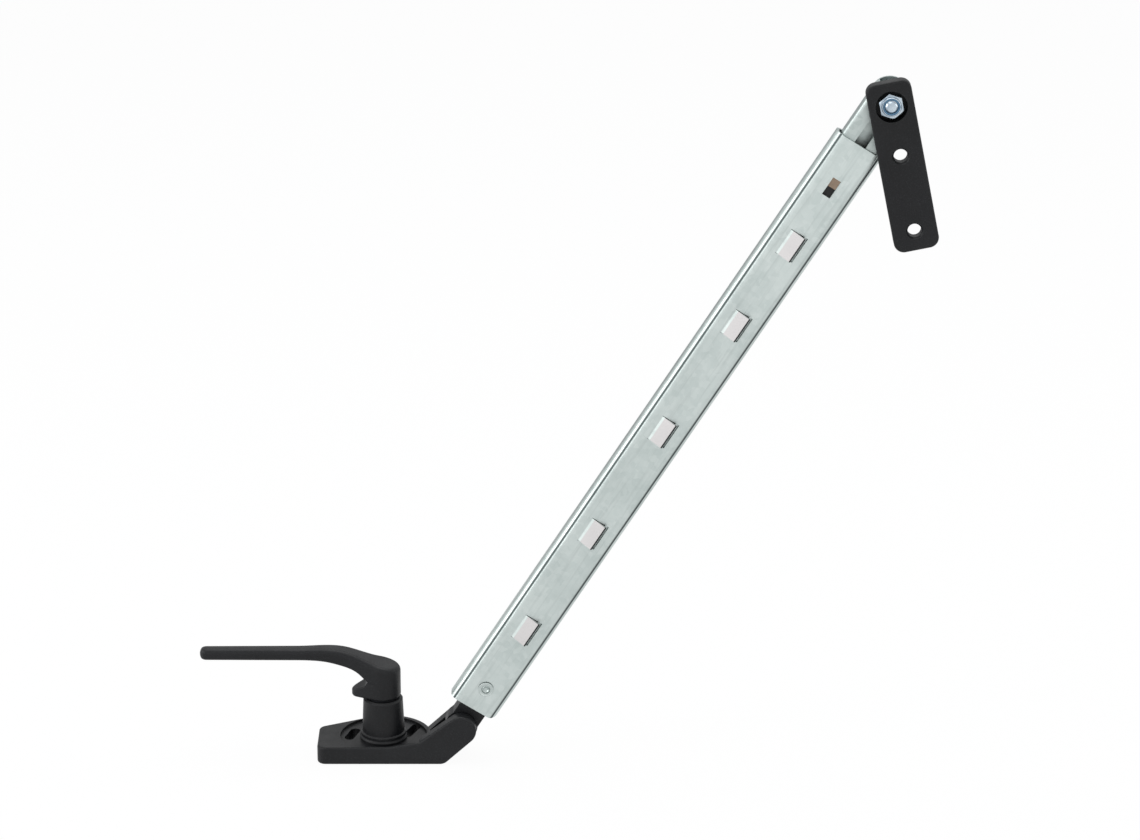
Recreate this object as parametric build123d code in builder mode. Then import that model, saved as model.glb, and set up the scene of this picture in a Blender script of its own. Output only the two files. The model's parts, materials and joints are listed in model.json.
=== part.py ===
"""Window stay: a cast base with a cockspur lever, and a telescopic rail that carries the sash plate.

Frame: millimetres, +Z up from the fixing face, origin on the lever's axis at that face, +X from
the lever towards the rail, -Y towards the side that shows the lanced catches and the lock nut.
"""

import os
from math import cos, radians, sin, tan

from build123d import *

# Clearances
FIT = 0.05  # a shaft in its hole, and two seats that stay still
SLIDE = 0.2  # the inner rail in the outer one, on each side
PLAY = 0.3  # parts that pass each other without touching

# Base bracket, a zinc casting
LEFT_X = -30.5  # left end of the foot
FRONT_Y = -15.0  # front wall
LEFT_DEPTH = 24.0  # depth of the foot at its left end
FOOT_HEIGHT = 8.6
FOOT_CORNER = 4.0
RIM_RADIUS = 22.7  # round rim behind the lever's axis
RECESS_RADIUS = 20.3
RECESS_DEPTH = 1.2
FRONT_WALL = 1.6
CORE_WALL = 2.6  # wall round the cored pocket in the foot's left end
CORE_DEPTH = 5.6
EDGE = 1.0  # rounding of the casting's outer edges
RAMP_START_X = 3.0  # the top rises gently from here to the ears
RAMP_END_X = 17.0

# Clevis: two ears that rise from the foot's right end
PIVOT_X = 36.6
PIVOT_Z = 16.9
EAR_RADIUS = 7.1
EAR_TOP_ANGLE = 36.8  # slope of the ears' upper edge
EAR_BOTTOM_ANGLE = 42.3  # slope of the ears' underside
EAR_THICKNESS = 5.55
BACK_EAR_RADIUS = 5.5
BACK_EAR_TOP_ANGLE = 42.8
CLEVIS_FLOOR_Z = 10.6
CLEVIS_FLOOR_START_X = 19.0
UNDERSIDE_BEND = 5.0
PIN_RADIUS = 3.0
PIN_END_WALL = 2.4  # solid left in the front ear ahead of the blind pin hole

# Fixing slots in the recess floor: middle X, middle Y, overall length, angle from X
SLOT_WIDTH = 4.6
LEFT_SLOT = (-14.8, 2.9, 12.8, 73.0)
RIGHT_SLOT = (12.8, 6.4, 16.0, 67.0)

# Socket: the upright sleeve that carries the lever
SOCKET_TOP_Z = 28.2
SOCKET_TOP_RADIUS = 9.2
SOCKET_FOOT_RADIUS = 9.8
COLLAR_RADIUS = 10.4
FLANGE_RADIUS = 11.0
SPIGOT_RADIUS = 7.0
SPIGOT_LENGTH = 2.0
SPINDLE_RADIUS = 4.0

# Lever, its head and its nose
THRUST_WASHER = 0.7
HEAD_RADIUS = 8.4
NOSE_X = -14.4
NOSE_HALF_WIDTH = 3.7
NOSE_HEIGHT = 3.4
NOSE_ROOT = (-8.2, 35.4)  # where its sloping top meets the neck
NECK_TOP = (-6.6, 38.4)
LEVER_TIP_X = -84.7
LEVER_MIDDLE_Z = 50.3
LEVER_HEIGHT = 5.6
LEVER_TIP_SWELL = 2.4  # how far the tip bulges in the side view
LEVER_TIP_HALF = 3.2  # half its width near the tip
LEVER_HALF = 3.6  # half its width where the straight bar ends
LEVER_BEND_X = -40.0
LEVER_TOP_CURVE = ((-17.2, 52.2), (-3.4, 46.8), (3.6, 44.7), (9.0, 42.9))  # X and Z, over the head
LEVER_LOW_CURVE = ((-2.5, 35.5), (-8.0, 38.8), (-11.5, 42.0), (-20.0, 45.5))
LEVER_FLARE = (-20.0, 4.7)  # X and half width in the middle of the bend
LEVER_TOP_ROUNDING = 2.4
LEVER_LOW_ROUNDING = 1.6
NOSE_LOW_ROUNDING = 1.2
NOSE_TOP_ROUNDING = 0.6
SPINDLE_SQUARE = 7.0
SQUARE_LENGTH = 9.0
HEAD_PIN_RADIUS = 1.5
SPINDLE_THREAD_RADIUS = 3.0
NUT_FLATS = 10.0
SPINDLE_NUT_HEIGHT = 3.0
DISC_SPRING = 0.5
DISC_SPRING_RISE = 0.4

# Outer rail: a lipped channel with its web towards the front
RAIL_ANGLE = 57.5
RAIL_OFFSET = 0.5  # the rail's middle line passes the clevis pin on its upper left
RAIL_WIDTH = 24.0
RAIL_DEPTH = 10.5
RAIL_SHEET = 1.3
RAIL_CORNER = 4.3
RAIL_START = 10.6  # distances along the rail are counted from the clevis pin
RAIL_LENGTH = 322.5
RAIL_BACK_GAP = 9.0
RAIL_LEFT_CORNER = 1.0
RAIL_RIGHT_CORNER = 3.5
RIVET_AT = 22.4

# Catches lanced out of the web, each a tab that stands up along its left edge
CATCH_AT = (57.7, 114.6, 173.5, 233.8, 278.4)
CATCH_LENGTH = 13.0
CATCH_LEFT = 4.4
CATCH_RIGHT = 4.5
CATCH_CUT = 0.2  # width of the cut at a tab's two short ends
TAB_LENGTH = 7.8
TAB_ANGLE = 24.0
TAB_BEND = 1.6
KEY_WINDOW_BELOW_END = 22.8  # from the rail's upper end down to the window's middle
KEY_WINDOW = (9.0, 4.1)

# Inner rail: a folded box with a long slot in its front
LINER = 1.05  # nylon strip on each side between the two rails
INNER_SHEET = 1.1
INNER_CORNER = 1.5
INNER_START = 43.0
BOLT_BEYOND_RAIL = 23.7
INNER_BEYOND_BOLT = 9.7
INNER_SLOT = 5.8
INNER_SLOT_START = 81.5
INNER_SLOT_BELOW_BOLT = 11.3

# Knuckle between the clevis and the outer rail
KNUCKLE_RADIUS = 7.6
KNUCKLE_NECK = 13.4
KNUCKLE_THICKNESS = 8.6
KNUCKLE_INSERT_END = 40.0
CLEVIS_WASHER = 0.8
CLEVIS_WASHER_RADIUS = 6.0
RIVET_RADIUS = 2.0
RIVET_HEAD_RADIUS = 3.5
BUFFER_LENGTH = 2.4

# Pawl and the carrier that holds it in the inner rail's lower end
CARRIER_LENGTH = 33.0
CARRIER_START = 44.5
PAWL_PIVOT_AT = 74.0
PAWL_PIN_RADIUS = 1.2
PAWL_EYE_RADIUS = 2.2
PAWL_WIDTH = 4.6
PAWL_REACH = 21.0
PAWL_NOSE_LENGTH = 7.0
PAWL_NOSE_WIDTH = 2.3
SPRING_STRIP = 0.3
SPRING_FOOT = (3.5, 8.0)  # where it lies on the carrier's floor, below the pawl's pin
SPRING_BOW = 15.5  # where it bears on the pawl
SPRING_TAIL = 3.5

# Guide key that rides in the inner rail's slot
KEY_LENGTH = 20.5
KEY_PAD_LENGTH = 4.4
KEY_FOOT_WIDTH = 10.0
KEY_FOOT = 1.6

# Sash plate, its bolt and its lock nut
PLATE_ANGLE = -78.3
PLATE_WIDTH = 20.2
PLATE_THICKNESS = 5.0
PLATE_CORNER = 4.6
PLATE_EDGE = 1.0
PLATE_ABOVE_BOLT = 11.2
PLATE_BELOW_LAST = 9.2
FIRST_HOLE_AT = 22.9
HOLE_SPACING = 35.1
SCREW_RADIUS = 3.1
SCREW_SINK = 0.8
NUT_RECESS_RADIUS = 7.1
NUT_RECESS_FLOOR = 2.15
BOSS_RADIUS = 9.0
BOSS_HEIGHT = 2.95
PLATE_WASHER = 1.0
BOLT_RADIUS = 3.0
BOLT_HEAD_RADIUS = 5.2
BOLT_HEAD_HEIGHT = 2.8
BOLT_PAST_NUT = 0.4
LOCK_NUT_HEIGHT = 6.0
NUT_BODY_HEIGHT = 4.3
SPACER_WALL = 1.5

# Places worked out from the sizes above
FLOOR_Z = FOOT_HEIGHT - RECESS_DEPTH
EARS_GAP = KNUCKLE_THICKNESS + 2 * (CLEVIS_WASHER + 2 * FIT)
RAIL_Y = FRONT_Y + EAR_THICKNESS + EARS_GAP / 2
EARS_BACK_Y = RAIL_Y + EARS_GAP / 2 + EAR_THICKNESS
HEAD_BOTTOM_Z = SOCKET_TOP_Z + THRUST_WASHER + 2 * FIT
SOCKET_BOTTOM_Z = FLOOR_Z - SPIGOT_LENGTH
RAIL_END = RAIL_START + RAIL_LENGTH
KEY_WINDOW_AT = RAIL_END - KEY_WINDOW_BELOW_END
BOLT_AT = RAIL_END + BOLT_BEYOND_RAIL
INNER_SLOT_END = BOLT_AT - INNER_SLOT_BELOW_BOLT
INNER_WIDTH = RAIL_WIDTH - 2 * (RAIL_SHEET + LINER + FIT + SLIDE)
INNER_DEPTH = RAIL_DEPTH - 2 * (RAIL_SHEET + SLIDE)
INNER_END_CORNER = INNER_WIDTH / 2 - SLIDE
INNER_END = BOLT_AT + INNER_BEYOND_BOLT
CAVITY_WIDTH = INNER_WIDTH - 2 * INNER_SHEET
CAVITY_DEPTH = INNER_DEPTH - 2 * INNER_SHEET
HOLES_AT = (FIRST_HOLE_AT, FIRST_HOLE_AT + HOLE_SPACING)
WELL_RADIUS = NUT_FLATS / 2 + 3.5

# Planes. On the rail's own plane, x runs along the rail from the clevis pin, y to its upper left
# edge and z to the front. On a section of the rail, x is that y and y is that z.
RAIL = Plane(
    origin=(
        PIVOT_X - RAIL_OFFSET * sin(radians(RAIL_ANGLE)),
        RAIL_Y,
        PIVOT_Z + RAIL_OFFSET * cos(radians(RAIL_ANGLE)),
    ),
    x_dir=(cos(radians(RAIL_ANGLE)), 0, sin(radians(RAIL_ANGLE))),
    z_dir=(0, -1, 0),
)


def section(distance):
    """The plane across the rail at this distance from the clevis pin."""
    return Plane(origin=RAIL.from_local_coords((distance, 0, 0)), x_dir=RAIL.y_dir, z_dir=RAIL.x_dir)


def side_plane(y):
    """A plane parallel to the front wall, with X to the right and Z up."""
    return Plane(origin=(0, y, 0), x_dir=(1, 0, 0), z_dir=(0, -1, 0))


def save(part, name):
    part.part.label = name
    export_step(part.part, f"parts/{name}.step")


os.makedirs("parts", exist_ok=True)

# Base bracket
ear_top = (
    PIVOT_X - EAR_RADIUS * sin(radians(EAR_TOP_ANGLE)),
    PIVOT_Z + EAR_RADIUS * cos(radians(EAR_TOP_ANGLE)),
)
ear_low = (
    PIVOT_X + EAR_RADIUS * sin(radians(EAR_BOTTOM_ANGLE)),
    PIVOT_Z - EAR_RADIUS * cos(radians(EAR_BOTTOM_ANGLE)),
)
ear_far = (PIVOT_X + EAR_RADIUS, PIVOT_Z)
ramp_top_z = ear_top[1] - (ear_top[0] - RAMP_END_X) * tan(radians(EAR_TOP_ANGLE))
back_ear_top = (
    PIVOT_X - BACK_EAR_RADIUS * sin(radians(BACK_EAR_TOP_ANGLE)),
    PIVOT_Z + BACK_EAR_RADIUS * cos(radians(BACK_EAR_TOP_ANGLE)),
)
back_ear_end = (PIVOT_X + BACK_EAR_RADIUS * sin(0.8), PIVOT_Z - BACK_EAR_RADIUS * cos(0.8))
back_ear_low = (
    back_ear_top[0] - (back_ear_top[1] - FOOT_HEIGHT) / tan(radians(BACK_EAR_TOP_ANGLE)),
    FOOT_HEIGHT,
)
back_cut_far = PIVOT_X + 3 * EAR_RADIUS
toe_x = ear_low[0] - ear_low[1] / tan(radians(EAR_BOTTOM_ANGLE))
left_back_y = FRONT_Y + LEFT_DEPTH
rim_start = (-RIM_RADIUS * 0.38, RIM_RADIUS * 0.86)
rim_end_x = (RIM_RADIUS**2 - EARS_BACK_Y**2) ** 0.5

with BuildPart() as base_bracket:
    with BuildSketch() as foot_plan:
        with BuildLine():
            back = Line((LEFT_X, left_back_y), rim_start)
            rim = ThreePointArc(rim_start, (RIM_RADIUS * 0.42, RIM_RADIUS * 0.907), (rim_end_x, EARS_BACK_Y))
            Polyline(rim @ 1, (rim_end_x, FRONT_Y), (LEFT_X, FRONT_Y), (LEFT_X, left_back_y))
        make_face()
        fillet(foot_plan.vertices().group_by(Axis.X)[0], FOOT_CORNER)
    extrude(amount=FOOT_HEIGHT)
    with BuildSketch(side_plane(FRONT_Y)) as ear_side:
        with BuildLine():
            Polyline(
                ear_top,
                (RAMP_END_X, ramp_top_z),
                (RAMP_START_X, FOOT_HEIGHT),
                (RAMP_START_X, 0),
                (toe_x, 0),
                ear_low,
            )
            ThreePointArc(ear_low, ear_far, ear_top)
        make_face()
        fillet(ear_side.vertices().sort_by_distance((toe_x, FRONT_Y, 0))[0], UNDERSIDE_BEND)
    extrude(amount=FRONT_Y - EARS_BACK_Y)
    with BuildSketch(side_plane(RAIL_Y - EARS_GAP / 2)):
        with BuildLine():
            Polyline((RAMP_START_X, FOOT_HEIGHT), back_ear_low, back_ear_top)
            ThreePointArc(back_ear_top, (PIVOT_X + BACK_EAR_RADIUS, PIVOT_Z), back_ear_end)
            Polyline(back_ear_end, (back_cut_far, 0), (back_cut_far, 3 * PIVOT_Z))
            Polyline((back_cut_far, 3 * PIVOT_Z), (RAMP_START_X, 3 * PIVOT_Z), (RAMP_START_X, FOOT_HEIGHT))
        make_face()
    extrude(amount=-EARS_GAP - EAR_THICKNESS, mode=Mode.SUBTRACT)
    front_edges = base_bracket.edges().filter_by_position(Axis.Y, FRONT_Y, FRONT_Y)
    fillet(front_edges.filter_by(lambda edge: edge.center().Z > 0.5), EDGE)
    with BuildSketch(Plane.XY.offset(FLOOR_Z)):
        Circle(RECESS_RADIUS)
        with Locations((0, FRONT_Y + FRONT_WALL)):
            Rectangle(3 * RECESS_RADIUS, RECESS_RADIUS, align=(Align.CENTER, Align.MAX), mode=Mode.SUBTRACT)
    extrude(amount=2 * RECESS_RADIUS, mode=Mode.SUBTRACT)
    with BuildSketch():
        for middle_x, middle_y, length, angle in (LEFT_SLOT, RIGHT_SLOT):
            with Locations((middle_x, middle_y)):
                SlotOverall(length, SLOT_WIDTH, rotation=angle)
    extrude(amount=FLOOR_Z, mode=Mode.SUBTRACT)
    with BuildSketch():
        with Locations((LEFT_X + CORE_WALL, FRONT_Y + CORE_WALL)):
            Rectangle(
                -LEFT_X - RECESS_RADIUS - CORE_WALL - 0.6,
                LEFT_DEPTH - 2 * CORE_WALL,
                align=(Align.MIN, Align.MIN),
            )
        Circle(WELL_RADIUS)
    extrude(amount=CORE_DEPTH, mode=Mode.SUBTRACT, clean=True)
    with BuildSketch():
        Circle(SPIGOT_RADIUS + FIT)
    extrude(amount=FLOOR_Z, mode=Mode.SUBTRACT)
    with BuildSketch(side_plane(RAIL_Y)):
        with Locations((PIVOT_X, PIVOT_Z)):
            Circle(KNUCKLE_RADIUS + PLAY)
        with Locations((CLEVIS_FLOOR_START_X, CLEVIS_FLOOR_Z)):
            Rectangle(2 * RAIL_WIDTH, 2 * RAIL_WIDTH, align=(Align.MIN, Align.MIN))
        with Locations((PIVOT_X - 1, 0)):
            Rectangle(2 * EAR_RADIUS, 2 * EAR_RADIUS, align=(Align.MIN, Align.MIN))
    extrude(amount=EARS_GAP / 2, both=True, mode=Mode.SUBTRACT)
    with BuildSketch(side_plane(FRONT_Y + PIN_END_WALL)):
        with Locations((PIVOT_X, PIVOT_Z)):
            Circle(PIN_RADIUS + FIT / 2)
    extrude(amount=FRONT_Y - EARS_BACK_Y, mode=Mode.SUBTRACT)
save(base_bracket, "base_bracket")

# Socket and what turns in it
with BuildPart() as handle_socket:
    with BuildSketch(Plane.XZ):
        with BuildLine():
            Polyline(
                (SPINDLE_RADIUS + FIT, SOCKET_BOTTOM_Z),
                (SPIGOT_RADIUS, SOCKET_BOTTOM_Z),
                (SPIGOT_RADIUS, FLOOR_Z),
                (FLANGE_RADIUS, FLOOR_Z),
                (FLANGE_RADIUS, FLOOR_Z + 1.2),
                (COLLAR_RADIUS, FLOOR_Z + 2.0),
                (COLLAR_RADIUS, FLOOR_Z + 3.4),
                (COLLAR_RADIUS - 0.6, FLOOR_Z + 4.0),
                (COLLAR_RADIUS - 0.6, FLOOR_Z + 5.4),
                (SOCKET_FOOT_RADIUS, FLOOR_Z + 6.2),
                (SOCKET_TOP_RADIUS, SOCKET_TOP_Z - 0.8),
                (SOCKET_TOP_RADIUS - 0.8, SOCKET_TOP_Z),
                (SPINDLE_RADIUS + FIT, SOCKET_TOP_Z),
                close=True,
            )
        make_face()
    revolve(axis=Axis.Z)
save(handle_socket, "handle_socket")

with BuildPart() as thrust_washer:
    with BuildSketch(Plane.XY.offset(SOCKET_TOP_Z + FIT)):
        Circle(HEAD_RADIUS - 0.8)
        Circle(SPINDLE_RADIUS + FIT, mode=Mode.SUBTRACT)
    extrude(amount=THRUST_WASHER)
save(thrust_washer, "thrust_washer")

shoulder_z = SOCKET_BOTTOM_Z - FIT
nut_top_z = shoulder_z - DISC_SPRING - DISC_SPRING_RISE - FIT
nut_bottom_z = nut_top_z - SPINDLE_NUT_HEIGHT

with BuildPart() as spindle:
    with BuildSketch(Plane.XY.offset(nut_bottom_z - 0.5)):
        Circle(SPINDLE_THREAD_RADIUS)
    extrude(until=None, amount=shoulder_z - nut_bottom_z + 0.5)
    with BuildSketch(Plane.XY.offset(shoulder_z)):
        Circle(SPINDLE_RADIUS)
    extrude(amount=HEAD_BOTTOM_Z - shoulder_z)
    with BuildSketch(Plane.XY.offset(HEAD_BOTTOM_Z)):
        Rectangle(SPINDLE_SQUARE, SPINDLE_SQUARE)
        Circle(SPINDLE_SQUARE * 0.62, mode=Mode.INTERSECT)
    extrude(amount=SQUARE_LENGTH)
    pin_z = HEAD_BOTTOM_Z + SQUARE_LENGTH / 2
    with BuildSketch(side_plane(0)):
        with Locations((0, pin_z)):
            Circle(HEAD_PIN_RADIUS + FIT / 2)
    extrude(amount=SPINDLE_SQUARE, both=True, mode=Mode.SUBTRACT)
save(spindle, "spindle")

with BuildPart() as disc_spring:
    with BuildSketch(Plane.XZ):
        with BuildLine():
            Polyline(
                (SPINDLE_THREAD_RADIUS + FIT, nut_top_z + FIT),
                (SPIGOT_RADIUS - 0.4, nut_top_z + FIT + DISC_SPRING_RISE),
                (SPIGOT_RADIUS - 0.4, nut_top_z + FIT + DISC_SPRING_RISE + DISC_SPRING - FIT),
                (SPINDLE_THREAD_RADIUS + FIT, nut_top_z + FIT + DISC_SPRING - FIT),
                close=True,
            )
        make_face()
    revolve(axis=Axis.Z)
save(disc_spring, "disc_spring")

with BuildPart() as spindle_nut:
    with BuildSketch(Plane.XY.offset(nut_bottom_z)):
        RegularPolygon(NUT_FLATS / 2, 6, major_radius=False)
        Circle(SPINDLE_THREAD_RADIUS + FIT, mode=Mode.SUBTRACT)
    extrude(amount=SPINDLE_NUT_HEIGHT)
save(spindle_nut, "spindle_nut")

# Lever: a side outline crossed with a plan outline, with its edges rounded
nose_edge_z = HEAD_BOTTOM_Z + NOSE_HEIGHT
lever_top = LEVER_MIDDLE_Z + LEVER_HEIGHT / 2
lever_low = LEVER_MIDDLE_Z - LEVER_HEIGHT / 2
tip_x = LEVER_TIP_X + LEVER_TIP_SWELL
meet_x = HEAD_RADIUS * cos(radians(108))
meet_y = HEAD_RADIUS * sin(radians(108))

with BuildPart() as lever_bar:
    with BuildSketch(side_plane(-2 * HEAD_RADIUS)):
        with BuildLine():
            top = Line((tip_x, lever_top), (LEVER_BEND_X, lever_top))
            fall = Spline(top @ 1, *LEVER_TOP_CURVE, tangents=((1, 0), (1, -0.7)))
            Polyline(fall @ 1, (LEVER_TOP_CURVE[-1][0], LEVER_LOW_CURVE[0][1]), LEVER_LOW_CURVE[0])
            under = Spline(*LEVER_LOW_CURVE, (LEVER_BEND_X, lever_low), tangents=((-1, 0.4), (-1, 0)))
            low = Line(under @ 1, (tip_x, lever_low))
            ThreePointArc(low @ 1, (LEVER_TIP_X, LEVER_MIDDLE_Z), top @ 0)
        make_face()
    extrude(amount=-4 * HEAD_RADIUS)
    with BuildSketch():
        with BuildLine():
            back = Line((LEVER_TIP_X + LEVER_TIP_HALF, LEVER_TIP_HALF), (LEVER_BEND_X, LEVER_HALF))
            Spline(back @ 1, LEVER_FLARE, (meet_x, meet_y), tangents=(back % 1, (meet_y, -meet_x)))
            ThreePointArc((meet_x, meet_y), (HEAD_RADIUS, 0), (meet_x, -meet_y))
            front = Line((LEVER_BEND_X, -LEVER_HALF), (LEVER_TIP_X + LEVER_TIP_HALF, -LEVER_TIP_HALF))
            front_flare = (LEVER_FLARE[0], -LEVER_FLARE[1])
            Spline((meet_x, -meet_y), front_flare, front @ 0, tangents=((-meet_y, -meet_x), front % 0))
            ThreePointArc(front @ 1, (LEVER_TIP_X, 0), back @ 0)
        make_face()
    extrude(amount=2 * lever_top, mode=Mode.INTERSECT)
    top_edges = lever_bar.edges().filter_by(
        lambda edge: edge.center().Z > (LEVER_TOP_CURVE[-1][1] - 1 if edge.center().X > 0 else lever_top - 0.8)
    )
    fillet(top_edges, LEVER_TOP_ROUNDING)
    low_edges = lever_bar.edges().filter_by(
        lambda edge: abs(edge.center().Z - lever_low) < 1 or (edge.center().X < -9.5 and edge.center().Z < 47.4)
    )
    fillet(low_edges, LEVER_LOW_ROUNDING)

with BuildPart() as lever_head:
    with BuildSketch(Plane.XY.offset(HEAD_BOTTOM_Z)):
        Circle(HEAD_RADIUS)
        with Locations((NOSE_X + NOSE_HALF_WIDTH, 0)):
            Circle(NOSE_HALF_WIDTH)
        make_hull()
    extrude(amount=NECK_TOP[1])
    with BuildSketch(side_plane(0)):
        with BuildLine():
            Polyline(
                (NOSE_X - 1, HEAD_BOTTOM_Z),
                (NOSE_X - 1, nose_edge_z - 0.6),
                NOSE_ROOT,
                NECK_TOP,
                (2 * HEAD_RADIUS, NECK_TOP[1]),
                (2 * HEAD_RADIUS, HEAD_BOTTOM_Z),
                close=True,
            )
        make_face()
    extrude(amount=2 * HEAD_RADIUS, both=True, mode=Mode.INTERSECT)
    tip_edges = lever_head.edges().filter_by(lambda edge: edge.center().X < NOSE_X + 2)
    fillet(tip_edges.filter_by(lambda edge: edge.center().Z < HEAD_BOTTOM_Z + 1), NOSE_LOW_ROUNDING)
    slope_edges = lever_head.edges().filter_by(lambda edge: edge.center().X < NOSE_ROOT[0])
    fillet(
        slope_edges.filter_by(lambda edge: HEAD_BOTTOM_Z + 2 < edge.center().Z < HEAD_BOTTOM_Z + 7),
        NOSE_TOP_ROUNDING,
    )

with BuildPart() as handle_lever:
    add(lever_bar.part)
    add(lever_head.part)
    with BuildSketch(Plane.XY.offset(HEAD_BOTTOM_Z)):
        Rectangle(SPINDLE_SQUARE + 2 * FIT, SPINDLE_SQUARE + 2 * FIT)
    extrude(amount=SQUARE_LENGTH + FIT, mode=Mode.SUBTRACT)
    with BuildSketch(side_plane(-SPINDLE_SQUARE / 2)):
        with Locations((0, pin_z)):
            Circle(HEAD_PIN_RADIUS + FIT / 2)
    extrude(amount=-2 * HEAD_RADIUS, mode=Mode.SUBTRACT)
save(handle_lever, "handle_lever")

with BuildPart() as head_pin:
    with BuildSketch(side_plane(-SPINDLE_SQUARE / 2)):
        with Locations((0, pin_z)):
            Circle(HEAD_PIN_RADIUS)
            Circle(HEAD_PIN_RADIUS / 2, mode=Mode.SUBTRACT)
    extrude(amount=-(SPINDLE_SQUARE / 2 + HEAD_RADIUS - 0.6))
save(head_pin, "head_pin")

# Clevis pin and its washers
pin_front_y = FRONT_Y + PIN_END_WALL + FIT
with BuildPart() as clevis_pin:
    with BuildSketch(side_plane(pin_front_y)):
        with Locations((PIVOT_X, PIVOT_Z)):
            Circle(PIN_RADIUS)
    extrude(amount=pin_front_y - EARS_BACK_Y)
    chamfer(clevis_pin.edges().group_by(Axis.Y)[-1], 0.5)
save(clevis_pin, "clevis_pin")

washer_seat = KNUCKLE_THICKNESS / 2 + FIT
for side, name in ((1, "clevis_washer_front"), (-1, "clevis_washer_back")):
    with BuildPart() as clevis_washer:
        with BuildSketch(side_plane(RAIL_Y - side * washer_seat)):
            with Locations((PIVOT_X, PIVOT_Z)):
                Circle(CLEVIS_WASHER_RADIUS)
                Circle(PIN_RADIUS + FIT, mode=Mode.SUBTRACT)
        extrude(amount=side * CLEVIS_WASHER)
    save(clevis_washer, name)

# Knuckle
insert_width = RAIL_WIDTH - 2 * (RAIL_SHEET + FIT)
insert_depth = RAIL_DEPTH - 2 * (RAIL_SHEET + FIT)
with BuildPart() as knuckle:
    with BuildSketch(RAIL):
        with Locations((0, -RAIL_OFFSET)):
            Circle(KNUCKLE_RADIUS)
            Rectangle(RAIL_START - FIT, KNUCKLE_NECK, align=(Align.MIN, Align.CENTER))
    extrude(amount=KNUCKLE_THICKNESS / 2, both=True)
    with BuildSketch(section(RAIL_START)):
        RectangleRounded(insert_width, insert_depth, RAIL_CORNER - RAIL_SHEET)
    extrude(amount=KNUCKLE_INSERT_END - RAIL_START)
    with BuildSketch(section(KNUCKLE_RADIUS)):
        with Locations((-RAIL_OFFSET, 0)):
            Rectangle(KNUCKLE_NECK, insert_depth)
    extrude(amount=RAIL_START - KNUCKLE_RADIUS)
    with BuildSketch(RAIL):
        with Locations((0, -RAIL_OFFSET)):
            Circle(PIN_RADIUS + FIT)
        with Locations((RIVET_AT, 0)):
            Circle(RIVET_RADIUS + FIT / 2)
    extrude(amount=RAIL_DEPTH, both=True, mode=Mode.SUBTRACT)
    with BuildSketch(section(KNUCKLE_INSERT_END)):
        Circle(1.5 + FIT / 2)
    extrude(amount=-6, mode=Mode.SUBTRACT)
save(knuckle, "knuckle")

with BuildPart() as knuckle_rivet:
    front = RAIL_DEPTH / 2 + FIT / 2
    tail = insert_depth / 2 + FIT / 2
    with BuildSketch(Plane(origin=RAIL.from_local_coords((RIVET_AT, 0, 0)), x_dir=RAIL.x_dir, z_dir=RAIL.y_dir)):
        with BuildLine():
            # Half section: x is the rivet's radius and y runs to the back
            Polyline(
                (0, -front - 0.1),
                (1.3, -front - 0.1),
                (1.6, -front - 0.7),
                (RIVET_HEAD_RADIUS - 0.8, -front - 0.7),
                (RIVET_HEAD_RADIUS, -front - 0.1),
                (RIVET_HEAD_RADIUS, -front),
                (RIVET_RADIUS, -front),
                (RIVET_RADIUS, tail),
                (RIVET_HEAD_RADIUS - 0.4, tail),
                (RIVET_HEAD_RADIUS - 0.8, tail + 0.7),
                (0, tail + 0.7),
                close=True,
            )
        make_face()
    revolve(axis=Axis(RAIL.from_local_coords((RIVET_AT, 0, 0)), (0, 1, 0)))
save(knuckle_rivet, "knuckle_rivet")

with BuildPart() as end_buffer:
    with BuildSketch(section(KNUCKLE_INSERT_END + FIT / 2)):
        RectangleRounded(insert_width - 3, insert_depth - 1.6, 1.2)
    extrude(amount=BUFFER_LENGTH)
    with BuildSketch(section(KNUCKLE_INSERT_END + FIT / 2)):
        Circle(1.5)
    extrude(amount=-5.5)
save(end_buffer, "end_buffer")

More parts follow.
